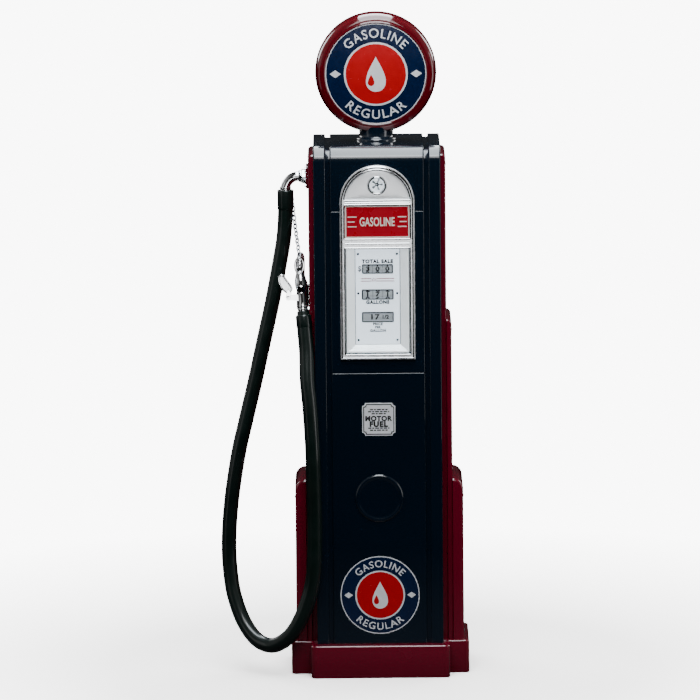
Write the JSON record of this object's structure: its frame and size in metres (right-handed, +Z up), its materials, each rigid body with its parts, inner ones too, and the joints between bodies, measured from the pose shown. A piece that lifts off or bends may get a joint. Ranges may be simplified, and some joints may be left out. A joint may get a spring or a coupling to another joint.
{
  "type": "fuel dispenser",
  "caption": "Tall kerbside fuel dispenser with stepped side casings, round lit globe, arched chrome dial bezel, rubber hose and hooked nozzle.",
  "frame": {"origin": "centre of the base underside, on the floor", "axes": "+Z up, the dial faces -Y, the hose hangs on the -X side"},
  "size_m": [0.8392, 0.5055, 2.245],
  "materials": {
    "access_cover": "gloss",
    "ad_glass": "gloss",
    "back_lens": "gloss",
    "base_plate": "plain",
    "base_plinth": "gloss",
    "belt": "satin",
    "bezel": "polished",
    "chain": "polished",
    "computer_frame": "matte",
    "delivery_pipe": "plain",
    "dial_door": "gloss",
    "dial_glass": "clear",
    "dial_mask": "polished",
    "dial_plate": "satin",
    "drive_shaft": "plain",
    "frame": "matte",
    "front_lens": "gloss",
    "gallons_fine": "matte",
    "gallons_tenths": "matte",
    "gallons_units": "matte",
    "globe_body": "gloss",
    "globe_collar": "gloss",
    "hood_panel": "gloss",
    "hose": "satin",
    "hose_ferrule": "satin",
    "label_plate": "satin",
    "lamp_bulb": "clear",
    "lamp_socket": "matte",
    "left_lower_casing": "gloss",
    "left_middle_casing": "gloss",
    "left_shell": "gloss",
    "left_upper_casing": "gloss",
    "lower_door": "gloss",
    "meter": "matte",
    "motor": "satin",
    "motor_pulley": "matte",
    "nozzle_body": "polished",
    "nozzle_boot": "satin",
    "nozzle_lever": "polished",
    "nozzle_spout": "polished",
    "outlet_elbow": "polished",
    "outlet_flange": "gloss",
    "outlet_nut": "polished",
    "price_wheel": "matte",
    "pump_pulley": "matte",
    "pump_unit": "matte",
    "rear_lower_door": "gloss",
    "rear_upper_panel": "gloss",
    "right_lower_casing": "gloss",
    "right_middle_casing": "gloss",
    "right_shell": "gloss",
    "right_upper_casing": "gloss",
    "sale_cents": "matte",
    "sale_dimes": "matte",
    "sale_dollars": "matte",
    "sight_housing": "polished",
    "sight_lens": "clear",
    "sight_spinner": "gloss",
    "suction_pipe": "plain",
    "transfer_pipe": "plain"
  },
  "bodies": {
    "pump": {"back_lens": "back_lens", "base_plate": "base_plate", "base_plinth": "base_plinth", "belt": "belt", "chain": "chain", "computer_frame": "computer_frame", "delivery_pipe": "delivery_pipe", "dial_plate": "dial_plate", "frame": "frame", "front_lens": "front_lens", "globe_body": "globe_body", "globe_collar": "globe_collar", "hood_panel": "hood_panel", "hose": "hose", "lamp_bulb": "lamp_bulb", "lamp_socket": "lamp_socket", "left_lower_casing": "left_lower_casing", "left_middle_casing": "left_middle_casing", "left_shell": "left_shell", "left_upper_casing": "left_upper_casing", "meter": "meter", "motor": "motor", "nozzle_boot": "nozzle_boot", "outlet_elbow": "outlet_elbow", "outlet_flange": "outlet_flange", "outlet_nut": "outlet_nut", "pump_unit": "pump_unit", "rear_upper_panel": "rear_upper_panel", "right_lower_casing": "right_lower_casing", "right_middle_casing": "right_middle_casing", "right_shell": "right_shell", "right_upper_casing": "right_upper_casing", "sight_housing": "sight_housing", "sight_lens": "sight_lens", "suction_pipe": "suction_pipe", "transfer_pipe": "transfer_pipe"},
    "dial_door_leaf": {"dial_door": "dial_door", "bezel": "bezel", "ad_glass": "ad_glass", "dial_glass": "dial_glass", "dial_mask": "dial_mask"},
    "lower_door_leaf": {"lower_door": "lower_door", "label_plate": "label_plate"},
    "access_cover_disc": {"access_cover": "access_cover"},
    "rear_door_leaf": {"rear_lower_door": "rear_lower_door"},
    "nozzle": {"nozzle_body": "nozzle_body", "nozzle_spout": "nozzle_spout", "hose_ferrule": "hose_ferrule"},
    "lever": {"nozzle_lever": "nozzle_lever"},
    "spinner": {"sight_spinner": "sight_spinner"},
    "sale_cents_wheel": {"sale_cents": "sale_cents"},
    "sale_dimes_wheel": {"sale_dimes": "sale_dimes"},
    "sale_dollars_wheel": {"sale_dollars": "sale_dollars"},
    "gallons_fine_wheel": {"gallons_fine": "gallons_fine"},
    "gallons_tenths_wheel": {"gallons_tenths": "gallons_tenths"},
    "gallons_units_wheel": {"gallons_units": "gallons_units"},
    "price_wheels": {"price_wheel": "price_wheel"},
    "register_drive": {"drive_shaft": "drive_shaft"},
    "pump_pulley_wheel": {"pump_pulley": "pump_pulley"},
    "motor_pulley_wheel": {"motor_pulley": "motor_pulley"}
  },
  "joints": [
    {"name": "dial_door_swing", "type": "hinge", "parent": "pump", "child": "dial_door_leaf", "pos_m": [0.158, -0.2, 1.3], "axis": [0, 0, 1], "range_deg": [0, 110]},
    {"name": "lower_door_off", "type": "slide", "parent": "pump", "child": "lower_door_leaf", "axis": [0, -1, 0], "range_m": [0, 0.3]},
    {"name": "access_cover_off", "type": "slide", "parent": "lower_door_leaf", "child": "access_cover_disc", "axis": [0, -1, 0], "range_m": [0, 0.08]},
    {"name": "rear_door_off", "type": "slide", "parent": "pump", "child": "rear_door_leaf", "axis": [0, 1, 0], "range_m": [0, 0.3]},
    {"name": "nozzle_lift", "type": "slide", "parent": "pump", "child": "nozzle", "axis": [0, 0, 1], "range_m": [0, 0.07], "deforming": ["hose", "chain"]},
    {"name": "lever_squeeze", "type": "hinge", "parent": "nozzle", "child": "lever", "pos_m": [-0.302, -0.1552, 1.295], "axis": [0, 1, 0], "range_deg": [0, 18]},
    {"name": "spinner_turn", "type": "hinge", "parent": "pump", "child": "spinner", "pos_m": [0, -0.191, 1.682], "axis": [0, -1, 0], "continuous": true},
    {"name": "sale_cents_turn", "type": "hinge", "parent": "pump", "child": "sale_cents_wheel", "pos_m": [0.033, -0.1565, 1.395], "axis": [1, 0, 0], "continuous": true},
    {"name": "sale_dimes_turn", "type": "hinge", "parent": "pump", "child": "sale_dimes_wheel", "pos_m": [0, -0.1565, 1.395], "axis": [1, 0, 0], "continuous": true},
    {"name": "sale_dollars_turn", "type": "hinge", "parent": "pump", "child": "sale_dollars_wheel", "pos_m": [-0.033, -0.1565, 1.395], "axis": [1, 0, 0], "continuous": true},
    {"name": "gallons_fine_turn", "type": "hinge", "parent": "pump", "child": "gallons_fine_wheel", "pos_m": [0.0337, -0.1565, 1.308], "axis": [1, 0, 0], "continuous": true},
    {"name": "gallons_tenths_turn", "type": "hinge", "parent": "pump", "child": "gallons_tenths_wheel", "pos_m": [0, -0.1565, 1.308], "axis": [1, 0, 0], "continuous": true},
    {"name": "gallons_units_turn", "type": "hinge", "parent": "pump", "child": "gallons_units_wheel", "pos_m": [-0.0337, -0.1565, 1.308], "axis": [1, 0, 0], "continuous": true},
    {"name": "price_turn", "type": "hinge", "parent": "pump", "child": "price_wheels", "pos_m": [0, -0.1565, 1.231], "axis": [1, 0, 0], "continuous": true},
    {"name": "drive_shaft_turn", "type": "hinge", "parent": "pump", "child": "register_drive", "pos_m": [0, -0.054, 1], "axis": [0, 0, 1], "continuous": true},
    {"name": "pump_pulley_turn", "type": "hinge", "parent": "pump", "child": "pump_pulley_wheel", "pos_m": [-0.085, 0, 0.58], "axis": [1, 0, 0], "continuous": true},
    {"name": "motor_pulley_turn", "type": "hinge", "parent": "pump", "child": "motor_pulley_wheel", "pos_m": [-0.085, 0, 0.3], "axis": [1, 0, 0], "continuous": true}
  ],
  "couplings": [
    {"joint": "gallons_tenths_turn", "follows": "gallons_fine_turn", "ratio": 0.1},
    {"joint": "gallons_units_turn", "follows": "gallons_fine_turn", "ratio": 0.01},
    {"joint": "sale_cents_turn", "follows": "gallons_fine_turn", "ratio": 0.175},
    {"joint": "sale_dimes_turn", "follows": "gallons_fine_turn", "ratio": 0.0175},
    {"joint": "sale_dollars_turn", "follows": "gallons_fine_turn", "ratio": 0.00175},
    {"joint": "drive_shaft_turn", "follows": "gallons_fine_turn", "ratio": 0.4},
    {"joint": "motor_pulley_turn", "follows": "pump_pulley_turn", "ratio": 2}
  ]
}
